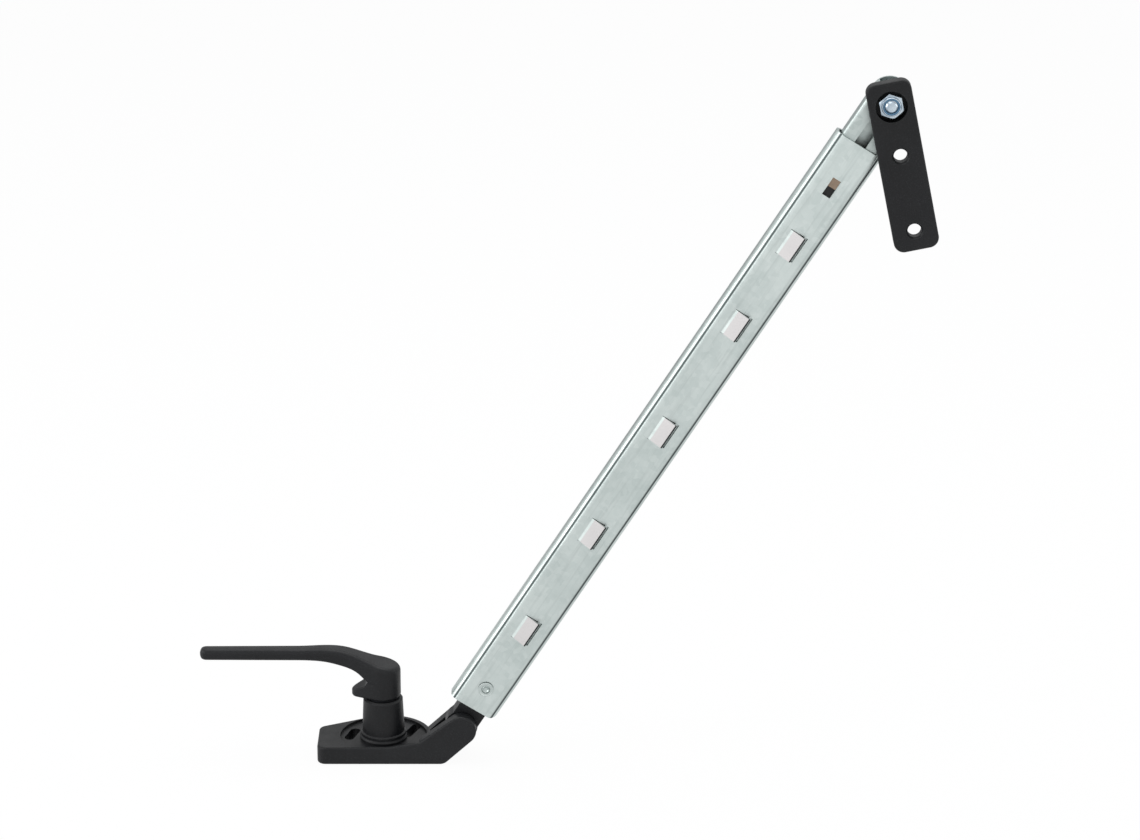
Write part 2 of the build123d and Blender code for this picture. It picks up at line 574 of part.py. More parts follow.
# Outer rail
web_middle = (RAIL_DEPTH - RAIL_SHEET) / 2
tab_bend_run = TAB_BEND * tan(radians(TAB_ANGLE / 2))
with BuildPart() as outer_rail:
    with BuildSketch(section(RAIL_START)):
        RectangleRounded(RAIL_WIDTH, RAIL_DEPTH, RAIL_CORNER)
        RectangleRounded(
            RAIL_WIDTH - 2 * RAIL_SHEET, RAIL_DEPTH - 2 * RAIL_SHEET, RAIL_CORNER - RAIL_SHEET, mode=Mode.SUBTRACT
        )
        with Locations((0, -RAIL_DEPTH / 2)):
            Rectangle(RAIL_BACK_GAP, 2 * RAIL_SHEET, mode=Mode.SUBTRACT)
    extrude(amount=RAIL_LENGTH)
    with BuildSketch(RAIL.offset(RAIL_DEPTH / 2)):
        for at in CATCH_AT:
            with Locations((at, CATCH_LEFT)):
                Rectangle(CATCH_LENGTH, CATCH_LEFT + CATCH_RIGHT, align=(Align.CENTER, Align.MAX))
        with Locations((KEY_WINDOW_AT, 0)):
            Rectangle(*KEY_WINDOW)
        with Locations((RIVET_AT, 0)):
            Circle(RIVET_RADIUS + FIT / 2)
    extrude(amount=-2 * RAIL_SHEET, mode=Mode.SUBTRACT)
    for at in CATCH_AT:
        with BuildSketch(section(at - CATCH_LENGTH / 2 + CATCH_CUT)):
            with BuildLine():
                root = Line((CATCH_LEFT + RAIL_SHEET, web_middle), (CATCH_LEFT, web_middle))
                bend = JernArc(root @ 1, (-1, 0), TAB_BEND, -TAB_ANGLE)
                PolarLine(bend @ 1, TAB_LENGTH - tab_bend_run, direction=bend % 1)
            trace(line_width=RAIL_SHEET)
        extrude(amount=CATCH_LENGTH - 2 * CATCH_CUT)
    with BuildSketch(RAIL.offset(-RAIL_DEPTH)) as rail_outline:
        with Locations((RAIL_START, 0)):
            Rectangle(RAIL_LENGTH, RAIL_WIDTH, align=(Align.MIN, Align.CENTER))
        fillet(rail_outline.vertices().sort_by(Axis.X)[0:2].sort_by(Axis.Y)[0], RAIL_RIGHT_CORNER)
        fillet(rail_outline.vertices().sort_by(Axis.X)[0:2].sort_by(Axis.Y)[1], RAIL_LEFT_CORNER)
    extrude(amount=3 * RAIL_DEPTH, mode=Mode.INTERSECT)
save(outer_rail, "outer_rail")

# Inner rail
inner_front = INNER_DEPTH / 2
with BuildPart() as inner_rail:
    with BuildSketch(section(INNER_START)):
        RectangleRounded(INNER_WIDTH, INNER_DEPTH, INNER_CORNER)
        RectangleRounded(CAVITY_WIDTH, CAVITY_DEPTH, INNER_CORNER - INNER_SHEET, mode=Mode.SUBTRACT)
    extrude(amount=INNER_END - INNER_START)
    with BuildSketch(RAIL.offset(inner_front)):
        with Locations(((INNER_SLOT_START + INNER_SLOT_END) / 2, 0)):
            SlotOverall(INNER_SLOT_END - INNER_SLOT_START, INNER_SLOT)
        with Locations((PAWL_PIVOT_AT - PAWL_REACH / 2, 0)):
            Rectangle(PAWL_REACH + 2, PAWL_WIDTH + 2 * PLAY)
    extrude(amount=-2 * INNER_SHEET, mode=Mode.SUBTRACT)
    with BuildSketch(RAIL):
        with Locations((BOLT_AT, 0)):
            Circle(BOLT_RADIUS + FIT)
        with Locations((CARRIER_START + 4, 0)):
            Circle(1.5 + FIT / 2)
    extrude(amount=RAIL_DEPTH, both=True, mode=Mode.SUBTRACT)
    with BuildSketch(RAIL) as inner_outline:
        with Locations((INNER_END, 0)):
            Rectangle(INNER_END - INNER_START, INNER_WIDTH, align=(Align.MAX, Align.CENTER))
        far = RAIL.from_local_coords((2 * INNER_END, 0, 0))
        fillet(inner_outline.vertices().sort_by_distance(far)[0:2], INNER_END_CORNER)
    extrude(amount=RAIL_DEPTH, both=True, mode=Mode.INTERSECT)
save(inner_rail, "inner_rail")

# Guide key
key_end = KEY_WINDOW_AT + KEY_LENGTH
with BuildPart() as guide_key:
    with BuildSketch(RAIL.offset(RAIL_DEPTH / 2 - RAIL_SHEET)):
        with Locations((KEY_WINDOW_AT, 0)):
            Rectangle(KEY_LENGTH, INNER_SLOT - 2 * SLIDE, align=(Align.MIN, Align.CENTER))
    extrude(amount=-(SLIDE + INNER_SHEET + SLIDE))
    with BuildSketch(RAIL.offset(inner_front - INNER_SHEET - SLIDE)):
        with Locations((KEY_WINDOW_AT, 0)):
            Rectangle(KEY_LENGTH, KEY_FOOT_WIDTH, align=(Align.MIN, Align.CENTER))
    extrude(amount=-KEY_FOOT)
    with BuildSketch(RAIL.offset(RAIL_DEPTH / 2 - RAIL_SHEET)):
        with Locations((KEY_WINDOW_AT, 0)):
            Rectangle(KEY_WINDOW[0] / 2 - FIT, KEY_WINDOW[1] - 2 * FIT, align=(Align.MIN, Align.CENTER))
    extrude(amount=RAIL_SHEET - 0.2)
save(guide_key, "guide_key")

with BuildPart() as key_pad:
    with BuildSketch(RAIL.offset(RAIL_DEPTH / 2 - RAIL_SHEET)):
        with Locations((KEY_WINDOW_AT - FIT, 0)):
            Rectangle(KEY_PAD_LENGTH, INNER_SLOT - 2 * SLIDE, align=(Align.MAX, Align.CENTER))
    extrude(amount=-(SLIDE + INNER_SHEET + SLIDE))
    with BuildSketch(RAIL.offset(inner_front - INNER_SHEET - SLIDE)):
        with Locations((KEY_WINDOW_AT - FIT, 0)):
            Rectangle(KEY_PAD_LENGTH, KEY_FOOT_WIDTH, align=(Align.MAX, Align.CENTER))
    extrude(amount=-KEY_FOOT)
save(key_pad, "key_pad")

# Nylon liners between the two rails' flanks
for side, name in ((1, "liner_left"), (-1, "liner_right")):
    with BuildPart() as rail_liner:
        with BuildSketch(section(INNER_START)):
            with Locations((side * (RAIL_WIDTH / 2 - RAIL_SHEET - FIT - LINER / 2), 0)):
                Rectangle(LINER, RAIL_DEPTH - 2 * RAIL_CORNER)
        extrude(amount=RAIL_END - INNER_START - 1)
    save(rail_liner, name)

# Pawl, its carrier, pin, rivet and spring
carrier_end = CARRIER_START + CARRIER_LENGTH
pawl_slot_start = PAWL_PIVOT_AT - PAWL_REACH - 1.5
with BuildPart() as pawl_carrier:
    with BuildSketch(section(CARRIER_START)):
        Rectangle(CAVITY_WIDTH - 2 * FIT - 0.6, CAVITY_DEPTH - 2 * FIT)
    extrude(amount=CARRIER_LENGTH)
    with BuildSketch(RAIL):
        with Locations((pawl_slot_start, 0)):
            Rectangle(
                PAWL_PIVOT_AT + PAWL_EYE_RADIUS + PLAY - pawl_slot_start,
                PAWL_WIDTH + 2 * PLAY,
                align=(Align.MIN, Align.CENTER),
            )
        with Locations((CARRIER_START + 4, 0)):
            Circle(1.5 + FIT / 2)
    extrude(amount=INNER_DEPTH, both=True, mode=Mode.SUBTRACT)
    with BuildSketch(Plane(origin=RAIL.from_local_coords((PAWL_PIVOT_AT, 0, 0)), x_dir=RAIL.x_dir, z_dir=RAIL.y_dir)):
        Circle(PAWL_PIN_RADIUS + FIT / 2)
    extrude(amount=CAVITY_WIDTH, both=True, mode=Mode.SUBTRACT)
save(pawl_carrier, "pawl_carrier")

with BuildPart() as carrier_rivet:
    with BuildSketch(RAIL.offset(-INNER_DEPTH / 2)):
        with Locations((CARRIER_START + 4, 0)):
            Circle(1.5)
    extrude(amount=INNER_DEPTH)
save(carrier_rivet, "carrier_rivet")

with BuildPart() as pawl_pin:
    with BuildSketch(Plane(origin=RAIL.from_local_coords((PAWL_PIVOT_AT, 0, 0)), x_dir=RAIL.x_dir, z_dir=RAIL.y_dir)):
        Circle(PAWL_PIN_RADIUS)
    extrude(amount=(CAVITY_WIDTH - 0.8) / 2, both=True)
save(pawl_pin, "pawl_pin")

# On this plane x runs along the rail from the pawl's pin and y to the back
pawl_side = Plane(origin=RAIL.from_local_coords((PAWL_PIVOT_AT, 0, 0)), x_dir=RAIL.x_dir, z_dir=RAIL.y_dir)
nose_middle = CATCH_AT[0] - PAWL_PIVOT_AT
nose_low = nose_middle - PAWL_NOSE_LENGTH / 2
nose_high = nose_middle + PAWL_NOSE_LENGTH / 2
arm_back = 0.6
arm_front = -(CAVITY_DEPTH / 2 - 0.4)
nose_front = -(inner_front - 0.1)
with BuildPart() as pawl:
    with BuildSketch(pawl_side):
        with BuildLine():
            Polyline((-PAWL_REACH, arm_front), (0, arm_front), (0, arm_back), (-PAWL_REACH, arm_back), close=True)
        make_face()
        Circle(PAWL_EYE_RADIUS)
        Circle(PAWL_PIN_RADIUS + FIT, mode=Mode.SUBTRACT)
    extrude(amount=PAWL_WIDTH / 2, both=True)
    with BuildSketch(pawl_side):
        with BuildLine():
            Polyline(
                (nose_low, arm_front),
                (nose_low, nose_front),
                (nose_high - 2.5, nose_front),
                (nose_high, arm_front),
                close=True,
            )
        make_face()
    extrude(amount=-PAWL_NOSE_WIDTH)
save(pawl, "pawl")

with BuildPart() as pawl_spring:
    with BuildSketch(pawl_side):
        with BuildLine():
            floor_line = CAVITY_DEPTH / 2 - FIT - SPRING_STRIP / 2
            bow_line = arm_back + PLAY + SPRING_STRIP / 2
            flat = Line((-SPRING_FOOT[0], floor_line), (-SPRING_FOOT[1], floor_line))
            rise = Line(flat @ 1, (-SPRING_BOW, bow_line))
            Line(rise @ 1, (-SPRING_BOW - SPRING_TAIL, bow_line + 0.4))
        trace(line_width=SPRING_STRIP)
    extrude(amount=PAWL_WIDTH / 2 - 0.3, both=True)
save(pawl_spring, "pawl_spring")

# Sash plate. On its plane x runs from the bolt down the plate and z to the front
inner_front_y = RAIL_Y - inner_front
plate_back = inner_front + FIT + PLATE_WASHER + FIT + BOSS_HEIGHT
bolt_point = RAIL.from_local_coords((BOLT_AT, 0, 0))
PLATE = Plane(
    origin=bolt_point,
    x_dir=(cos(radians(PLATE_ANGLE)), 0, sin(radians(PLATE_ANGLE))),
    z_dir=(0, -1, 0),
)
plate_length = PLATE_ABOVE_BOLT + HOLES_AT[1] + PLATE_BELOW_LAST
recess_depth = BOSS_HEIGHT + PLATE_THICKNESS - NUT_RECESS_FLOOR
with BuildPart() as sash_plate:
    with BuildSketch(PLATE.offset(plate_back)):
        with Locations((plate_length / 2 - PLATE_ABOVE_BOLT, 0)):
            RectangleRounded(plate_length, PLATE_WIDTH, PLATE_CORNER)
    extrude(amount=PLATE_THICKNESS)
    fillet(sash_plate.faces().sort_by(Axis.Y)[0].edges(), PLATE_EDGE)
    with BuildSketch(PLATE.offset(plate_back - BOSS_HEIGHT)):
        Circle(BOSS_RADIUS)
    extrude(amount=BOSS_HEIGHT)
    with BuildSketch(PLATE.offset(plate_back + PLATE_THICKNESS)):
        Circle(NUT_RECESS_RADIUS)
    extrude(amount=-recess_depth, mode=Mode.SUBTRACT)
    with Locations(PLATE.offset(plate_back + PLATE_THICKNESS)):
        Hole(BOLT_RADIUS + FIT)
        with Locations(*[(at, 0) for at in HOLES_AT]):
            CounterSinkHole(SCREW_RADIUS, SCREW_RADIUS + SCREW_SINK)
save(sash_plate, "sash_plate")

with BuildPart() as plate_washer:
    with BuildSketch(PLATE.offset(inner_front + FIT)):
        Circle(BOSS_RADIUS - 1)
        Circle(BOLT_RADIUS + FIT, mode=Mode.SUBTRACT)
    extrude(amount=PLATE_WASHER)
save(plate_washer, "plate_washer")

nut_seat = plate_back - BOSS_HEIGHT + NUT_RECESS_FLOOR + FIT
nut_face = nut_seat + LOCK_NUT_HEIGHT
with BuildPart() as pivot_bolt:
    with BuildSketch(PLATE.offset(-inner_front - FIT)):
        Circle(BOLT_RADIUS)
    extrude(amount=inner_front + FIT + nut_face + BOLT_PAST_NUT)
    chamfer(pivot_bolt.edges().group_by(Axis.Y)[0], 0.5)
    with BuildSketch(PLATE.offset(-inner_front - FIT)):
        Circle(BOLT_HEAD_RADIUS)
    extrude(amount=-BOLT_HEAD_HEIGHT)
    fillet(pivot_bolt.edges().group_by(Axis.Y)[-1], 1.2)
save(pivot_bolt, "pivot_bolt")

with BuildPart() as pivot_spacer:
    with BuildSketch(PLATE.offset(-CAVITY_DEPTH / 2 + FIT / 2)):
        Circle(BOLT_RADIUS + FIT + SPACER_WALL)
        Circle(BOLT_RADIUS + FIT, mode=Mode.SUBTRACT)
    extrude(amount=CAVITY_DEPTH - FIT)
save(pivot_spacer, "pivot_spacer")

with BuildPart() as lock_nut:
    with BuildSketch(PLATE.offset(nut_seat)):
        RegularPolygon(NUT_FLATS / 2, 6, major_radius=False)
    extrude(amount=NUT_BODY_HEIGHT)
    with BuildSketch(PLATE.offset(nut_seat + NUT_BODY_HEIGHT)):
        Circle(NUT_FLATS / 2 - 0.3)
    extrude(amount=LOCK_NUT_HEIGHT - NUT_BODY_HEIGHT)
    with BuildSketch(PLATE.offset(nut_seat)):
        Circle(BOLT_RADIUS + FIT / 2)
    extrude(amount=LOCK_NUT_HEIGHT, mode=Mode.SUBTRACT)
    with BuildSketch(PLATE.offset(nut_seat + NUT_BODY_HEIGHT)):
        Circle(NUT_FLATS / 2 - 1.0)
    extrude(amount=LOCK_NUT_HEIGHT - NUT_BODY_HEIGHT, mode=Mode.SUBTRACT)
save(lock_nut, "lock_nut")

with BuildPart() as nut_ring:
    with BuildSketch(PLATE.offset(nut_seat + NUT_BODY_HEIGHT + FIT / 2)):
        Circle(NUT_FLATS / 2 - 1.0 - FIT / 2)
        Circle(BOLT_RADIUS + FIT / 2, mode=Mode.SUBTRACT)
    extrude(amount=LOCK_NUT_HEIGHT - NUT_BODY_HEIGHT - 0.3)
save(nut_ring, "nut_ring")
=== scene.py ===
"""Looks of the window stay: finishes, bolt, nut and rivet, light and camera.

Everything is in metres in the part's own frame: the origin is on the lever's axis at the fixing
face, +X runs from the lever towards the rail, -Y is the side with the catches, +Z is up.
"""

import json
from math import cos, pi, radians, sin, tan

import bmesh
import bpy
from mathutils import Matrix, Vector


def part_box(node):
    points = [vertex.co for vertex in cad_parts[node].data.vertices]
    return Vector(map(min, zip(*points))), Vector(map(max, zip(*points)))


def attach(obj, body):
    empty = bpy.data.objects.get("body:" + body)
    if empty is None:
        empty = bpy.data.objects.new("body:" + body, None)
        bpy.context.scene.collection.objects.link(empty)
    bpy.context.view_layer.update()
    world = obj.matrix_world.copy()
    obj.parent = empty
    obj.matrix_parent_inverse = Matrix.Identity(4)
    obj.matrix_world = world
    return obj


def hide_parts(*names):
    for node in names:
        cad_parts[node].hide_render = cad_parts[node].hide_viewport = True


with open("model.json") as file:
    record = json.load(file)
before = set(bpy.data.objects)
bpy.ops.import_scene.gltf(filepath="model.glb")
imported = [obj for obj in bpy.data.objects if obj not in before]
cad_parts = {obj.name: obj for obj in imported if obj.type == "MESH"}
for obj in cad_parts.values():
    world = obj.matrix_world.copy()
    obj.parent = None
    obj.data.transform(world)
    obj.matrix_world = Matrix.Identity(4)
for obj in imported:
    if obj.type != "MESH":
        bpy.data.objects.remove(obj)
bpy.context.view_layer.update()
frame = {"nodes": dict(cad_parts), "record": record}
nodes = frame["nodes"]
MM = 0.001

# How the rail leans, and the direction across it to its upper left edge
RAIL_ANGLE = radians(57.5)
ACROSS_RAIL = Vector((-sin(RAIL_ANGLE), 0, cos(RAIL_ANGLE)))
PLATE_ANGLE = radians(-78.3)  # the sash plate's direction, down from its bolt
FOLD_LINE = 10.0 * MM  # from the rail's middle line out to where the face folds into the flanks
FOLD_WIDTH = 1.3 * MM
CATCH_RISE = 2.7 * MM  # how far a lanced catch stands above the rail's face
CATCH_TOP = 1.0 * MM  # what is this close to the rail's foremost point belongs to a catch's top
EDGE_SHADE_WIDTH = 0.5 * MM  # how far in from a catch's free edge the painted shade line reaches
CRISP_EDGE = radians(24)  # faces that meet at more than this keep a sharp edge
SAME_POINT = 1e-7  # points closer than this are one

# Where a colour mix keeps its share, its two colours and its result
SHARE, FIRST, SECOND, MIXED = 0, 6, 7, 2


def colour(code):
    """An sRGB hex code as the linear colour that the shaders work in."""
    channels = [int(code[i : i + 2], 16) / 255 for i in (1, 3, 5)]
    linear = [c / 12.92 if c <= 0.04045 else ((c + 0.055) / 1.055) ** 2.4 for c in channels]
    return (*linear, 1.0)


def per(millimetres):
    """The scale at which a pattern repeats about every so many millimetres."""
    return 1.0 / (millimetres * MM)


def add_node(tree, kind, sockets, **settings):
    """Adds a node with its settings, then links or sets its sockets."""
    node = tree.nodes.new(kind)
    for name, value in settings.items():
        setattr(node, name, value)
    for name, value in sockets.items():
        if isinstance(value, bpy.types.NodeSocket):
            tree.links.new(value, node.inputs[name])
        else:
            node.inputs[name].default_value = value
    return node


def start_finish(name):
    """A new material with its tree, its shader and the place on the object."""
    finish = bpy.data.materials.new(name)
    finish.use_nodes = True
    tree = finish.node_tree
    place = add_node(tree, "ShaderNodeTexCoord", {}).outputs["Object"]
    return finish, tree, tree.nodes["Principled BSDF"], place


def black_powder_coat():
    # Die-cast zinc with polyester powder baked on: a satin black that is never quite even, with an
    # orange peel of 0.7 mm cells, paler grains, and edges drawn a little greyer, partly where
    # handling has rubbed them and partly as a painted highlight along the rounded edges.
    finish, tree, surface, place = start_finish("satin_black_powder_coat")
    cloud = add_node(
        tree, "ShaderNodeTexNoise", {"Vector": place, "Scale": per(22), "Detail": 4.0}
    )
    cloudy = add_node(
        tree,
        "ShaderNodeMapRange",
        {"Value": cloud.outputs["Fac"], "From Min": 0.35, "From Max": 0.65},
    )
    coat = add_node(
        tree,
        "ShaderNodeMix",
        {SHARE: cloudy.outputs["Result"], FIRST: colour("#0e0f11"), SECOND: colour("#161719")},
        data_type="RGBA",
    )
    grain = add_node(
        tree, "ShaderNodeTexNoise", {"Vector": place, "Scale": per(0.4), "Detail": 1.0}
    )
    grains = add_node(
        tree,
        "ShaderNodeMapRange",
        {"Value": grain.outputs["Fac"], "From Min": 0.58, "From Max": 0.7, "To Max": 0.5},
    )
    grainy = add_node(
        tree,
        "ShaderNodeMix",
        {SHARE: grains.outputs["Result"], FIRST: coat.outputs[MIXED], SECOND: colour("#2b2c2f")},
        data_type="RGBA",
    )
    # An edge is where the rounded normal leaves the face's own
    rounded = add_node(tree, "ShaderNodeBevel", {"Radius": 0.5 * MM}, samples=4)
    flat = add_node(tree, "ShaderNodeNewGeometry", {})
    turned_away = add_node(
        tree,
        "ShaderNodeVectorMath",
        {0: rounded.outputs["Normal"], 1: flat.outputs["Normal"]},
        operation="DOT_PRODUCT",
    )
    scuffs = add_node(
        tree, "ShaderNodeTexNoise", {"Vector": place, "Scale": per(3), "Detail": 3.0}
    )
    scuffed = add_node(
        tree,
        "ShaderNodeMapRange",
        {"Value": scuffs.outputs["Fac"], "From Min": 0.4, "From Max": 0.65, "To Max": 0.75},
    )
    edge = add_node(
        tree,
        "ShaderNodeMapRange",
        {
            "Value": turned_away.outputs["Value"],
            "From Min": 0.99,
            "From Max": 0.88,
            "To Max": scuffed.outputs["Result"],
        },
    )
    # Greyer edges: partly rubbed by handling, partly a painted highlight along rounded edges
    worn_and_highlit = add_node(
        tree,
        "ShaderNodeMix",
        {SHARE: edge.outputs["Result"], FIRST: grainy.outputs[MIXED], SECOND: colour("#3c3d40")},
        data_type="RGBA",
    )
    gloss = add_node(tree, "ShaderNodeTexNoise", {"Vector": place, "Scale": per(8), "Detail": 3.0})
    rough = add_node(
        tree,
        "ShaderNodeMapRange",
        {
            "Value": gloss.outputs["Fac"],
            "From Min": 0.3,
            "From Max": 0.7,
            "To Min": 0.4,
            "To Max": 0.52,
        },
    )
    peel = add_node(tree, "ShaderNodeTexNoise", {"Vector": place, "Scale": per(0.7), "Detail": 2.0})
    dimples = add_node(
        tree,
        "ShaderNodeBump",
        {"Height": peel.outputs["Fac"], "Distance": 0.08 * MM, "Strength": 0.6},
    )
    tree.links.new(worn_and_highlit.outputs[MIXED], surface.inputs["Base Color"])
    tree.links.new(rough.outputs["Result"], surface.inputs["Roughness"])
    tree.links.new(dimples.outputs["Normal"], surface.inputs["Normal"])
    surface.inputs["Specular IOR Level"].default_value = 0.24
    return finish


def galvanised_strip(name, light, shade, fold_middle=None, face_at=0.0, catch_edge=0.0):
    # Hot-dip galvanised strip, rolled smooth: a pale grey-green with a fine spangle of 2.4 mm
    # crystals and rolling lines along the rail. On the outer rail the rolls leave a thin groove
    # where the face folds into each flank, and the dark grey line along it is a painted reflection
    # of the bend. The raised catches are drawn a paler, warmer white, partly where the pawl rubs
    # them and partly as a painted reflection of the tilted catches, up to a painted shade line along
    # their sheared edge. fold_middle is the rail's middle line across its width, face_at the face's
    # Y, and catch_edge where the catches end, counted from that middle.
    finish, tree, surface, place = start_finish(name)
    crystals = add_node(tree, "ShaderNodeTexVoronoi", {"Vector": place, "Scale": per(2.4)})
    crystal = add_node(tree, "ShaderNodeSeparateColor", {"Color": crystals.outputs["Color"]})
    cloud = add_node(
        tree, "ShaderNodeTexNoise", {"Vector": place, "Scale": per(17), "Detail": 5.0}
    )
    cloudy = add_node(
        tree,
        "ShaderNodeMapRange",
        {"Value": cloud.outputs["Fac"], "From Min": 0.3, "From Max": 0.7},
    )
    zinc = add_node(
        tree,
        "ShaderNodeMix",
        {SHARE: cloudy.outputs["Result"], FIRST: colour(light), SECOND: colour(shade)},
        data_type="RGBA",
    )
    glint = add_node(tree, "ShaderNodeMapRange", {"Value": crystal.outputs["Red"], "To Max": 0.24})
    spangled = add_node(
        tree,
        "ShaderNodeMix",
        {SHARE: glint.outputs["Result"], FIRST: zinc.outputs[MIXED], SECOND: colour("#dce2e0")},
        data_type="RGBA",
    )
    # The pattern is turned to the rail before it is drawn out along it
    turned_to_rail = add_node(
        tree, "ShaderNodeMapping", {"Vector": place, "Rotation": (0, RAIL_ANGLE, 0)}
    )
    drawn_out = add_node(
        tree,
        "ShaderNodeMapping",
        {"Vector": turned_to_rail.outputs["Vector"], "Scale": (0.04, 1.0, 1.0)},
    )
    lines = add_node(
        tree,
        "ShaderNodeTexNoise",
        {"Vector": drawn_out.outputs["Vector"], "Scale": per(1.6), "Detail": 3.0},
    )
    lined = add_node(
        tree,
        "ShaderNodeMapRange",
        {"Value": lines.outputs["Fac"], "From Min": 0.5, "From Max": 0.75, "To Max": 0.4},
    )
    skin = add_node(
        tree,
        "ShaderNodeMix",
        {SHARE: lined.outputs["Result"], FIRST: spangled.outputs[MIXED], SECOND: colour("#9fa8a6")},
        data_type="RGBA",
    )
    ripple = add_node(
        tree, "ShaderNodeTexNoise", {"Vector": place, "Scale": per(1.1), "Detail": 3.0}
    )
    relief = add_node(
        tree,
        "ShaderNodeBump",
        {"Height": ripple.outputs["Fac"], "Distance": 0.02 * MM, "Strength": 0.5},
    )
    if fold_middle is not None:
        across = add_node(
            tree,
            "ShaderNodeMapping",
            {"Vector": place, "Location": (0, 0, -fold_middle), "Rotation": (0, RAIL_ANGLE, 0)},
        )
        aside = add_node(tree, "ShaderNodeSeparateXYZ", {"Vector": across.outputs["Vector"]})
        either = add_node(tree, "ShaderNodeMath", {0: aside.outputs["Z"]}, operation="ABSOLUTE")
        beyond = add_node(
            tree, "ShaderNodeMath", {0: either.outputs[0], 1: FOLD_LINE}, operation="SUBTRACT"
        )
        off = add_node(tree, "ShaderNodeMath", {0: beyond.outputs[0]}, operation="ABSOLUTE")
        groove = add_node(
            tree,
            "ShaderNodeMapRange",
            {
                "Value": off.outputs[0],
                "From Min": FOLD_WIDTH * 0.2,
                "From Max": FOLD_WIDTH * 0.6,
                "To Min": 1.0,
                "To Max": 0.0,
            },
        )
        in_front = add_node(
            tree,
            "ShaderNodeMapRange",
            {
                "Value": aside.outputs["Y"],
                "From Min": face_at + 1.6 * MM,
                "From Max": face_at + 1.3 * MM,
            },
        )
        fold_groove_and_painted_line = add_node(
            tree,
            "ShaderNodeMath",
            {0: groove.outputs["Result"], 1: in_front.outputs["Result"]},
            operation="MULTIPLY",
        )
        raised = add_node(
            tree,
            "ShaderNodeMapRange",
            {
                "Value": aside.outputs["Y"],
                "From Min": face_at - 0.02 * MM,
                "From Max": face_at - 0.15 * MM,
            },
        )
        at_edge = add_node(
            tree,
            "ShaderNodeMapRange",
            {
                "Value": aside.outputs["Z"],
                "From Min": catch_edge + EDGE_SHADE_WIDTH,
                "From Max": catch_edge + EDGE_SHADE_WIDTH * 0.7,
            },
        )
        painted_edge_shade = add_node(
            tree,
            "ShaderNodeMath",
            {0: at_edge.outputs["Result"], 1: raised.outputs["Result"]},
            operation="MULTIPLY",
        )
        # The raised catches' warmer tint: partly pawl rubbing, partly a painted reflection of the
        # tilted catches
        rubbed_and_reflection_tinted = add_node(
            tree,
            "ShaderNodeMix",
            {
                SHARE: raised.outputs["Result"],
                FIRST: skin.outputs[MIXED],
                SECOND: colour("#b7b5b5"),
            },
            data_type="RGBA",
        )
        # Painted shade: a dark line along each catch's free edge, beside the dark slit
        edge_shaded = add_node(
            tree,
            "ShaderNodeMix",
            {SHARE: painted_edge_shade.outputs[0], FIRST: rubbed_and_reflection_tinted.outputs[MIXED], SECOND: colour("#232525")},
            data_type="RGBA",
        )
        # Painted reflection: a dark grey line along the fold, and the same mask bumps in the groove
        skin = add_node(
            tree,
            "ShaderNodeMix",
            {SHARE: fold_groove_and_painted_line.outputs[0], FIRST: edge_shaded.outputs[MIXED], SECOND: colour("#4a5151")},
            data_type="RGBA",
        )
        relief = add_node(
            tree,
            "ShaderNodeBump",
            {
                "Height": fold_groove_and_painted_line.outputs[0],
                "Distance": 0.2 * MM,
                "Strength": 0.8,
                "Normal": relief.outputs["Normal"],
            },
            invert=True,
        )
    rough = add_node(
        tree,
        "ShaderNodeMapRange",
        {
            "Value": cloud.outputs["Fac"],
            "From Min": 0.3,
            "From Max": 0.7,
            "To Min": 0.34,
            "To Max": 0.44,
        },
    )
    tree.links.new(skin.outputs[MIXED], surface.inputs["Base Color"])
    tree.links.new(rough.outputs["Result"], surface.inputs["Roughness"])
    tree.links.new(relief.outputs["Normal"], surface.inputs["Normal"])
    surface.inputs["Metallic"].default_value = 1.0
    return finish


def turned_steel(name, light, shade, rough_from, rough_to):
    # Turned, pressed or spring steel, plated or oiled: brighter and smoother than the strip, with a
    # faint bloom 6 mm wide and tool marks 0.4 mm apart, drawn coarser than real so that they show.
    finish, tree, surface, place = start_finish(name)
    bloom = add_node(tree, "ShaderNodeTexNoise", {"Vector": place, "Scale": per(6), "Detail": 3.0})
    blooming = add_node(
        tree,
        "ShaderNodeMapRange",
        {"Value": bloom.outputs["Fac"], "From Min": 0.35, "From Max": 0.65},
    )
    steel = add_node(
        tree,
        "ShaderNodeMix",
        {SHARE: blooming.outputs["Result"], FIRST: colour(light), SECOND: colour(shade)},
        data_type="RGBA",
    )
    smears = add_node(
        tree, "ShaderNodeTexNoise", {"Vector": place, "Scale": per(1.4), "Detail": 3.0}
    )
    rough = add_node(
        tree,
        "ShaderNodeMapRange",
        {
            "Value": smears.outputs["Fac"],
            "From Min": 0.3,
            "From Max": 0.7,
            "To Min": rough_from,
            "To Max": rough_to,
        },
    )
    marks = add_node(
        tree, "ShaderNodeTexNoise", {"Vector": place, "Scale": per(0.4), "Detail": 2.0}
    )
    relief = add_node(
        tree,
        "ShaderNodeBump",
        {"Height": marks.outputs["Fac"], "Distance": 0.01 * MM, "Strength": 0.4},
    )
    tree.links.new(steel.outputs[MIXED], surface.inputs["Base Color"])
    tree.links.new(rough.outputs["Result"], surface.inputs["Roughness"])
    tree.links.new(relief.outputs["Normal"], surface.inputs["Normal"])
    surface.inputs["Metallic"].default_value = 1.0
    return finish


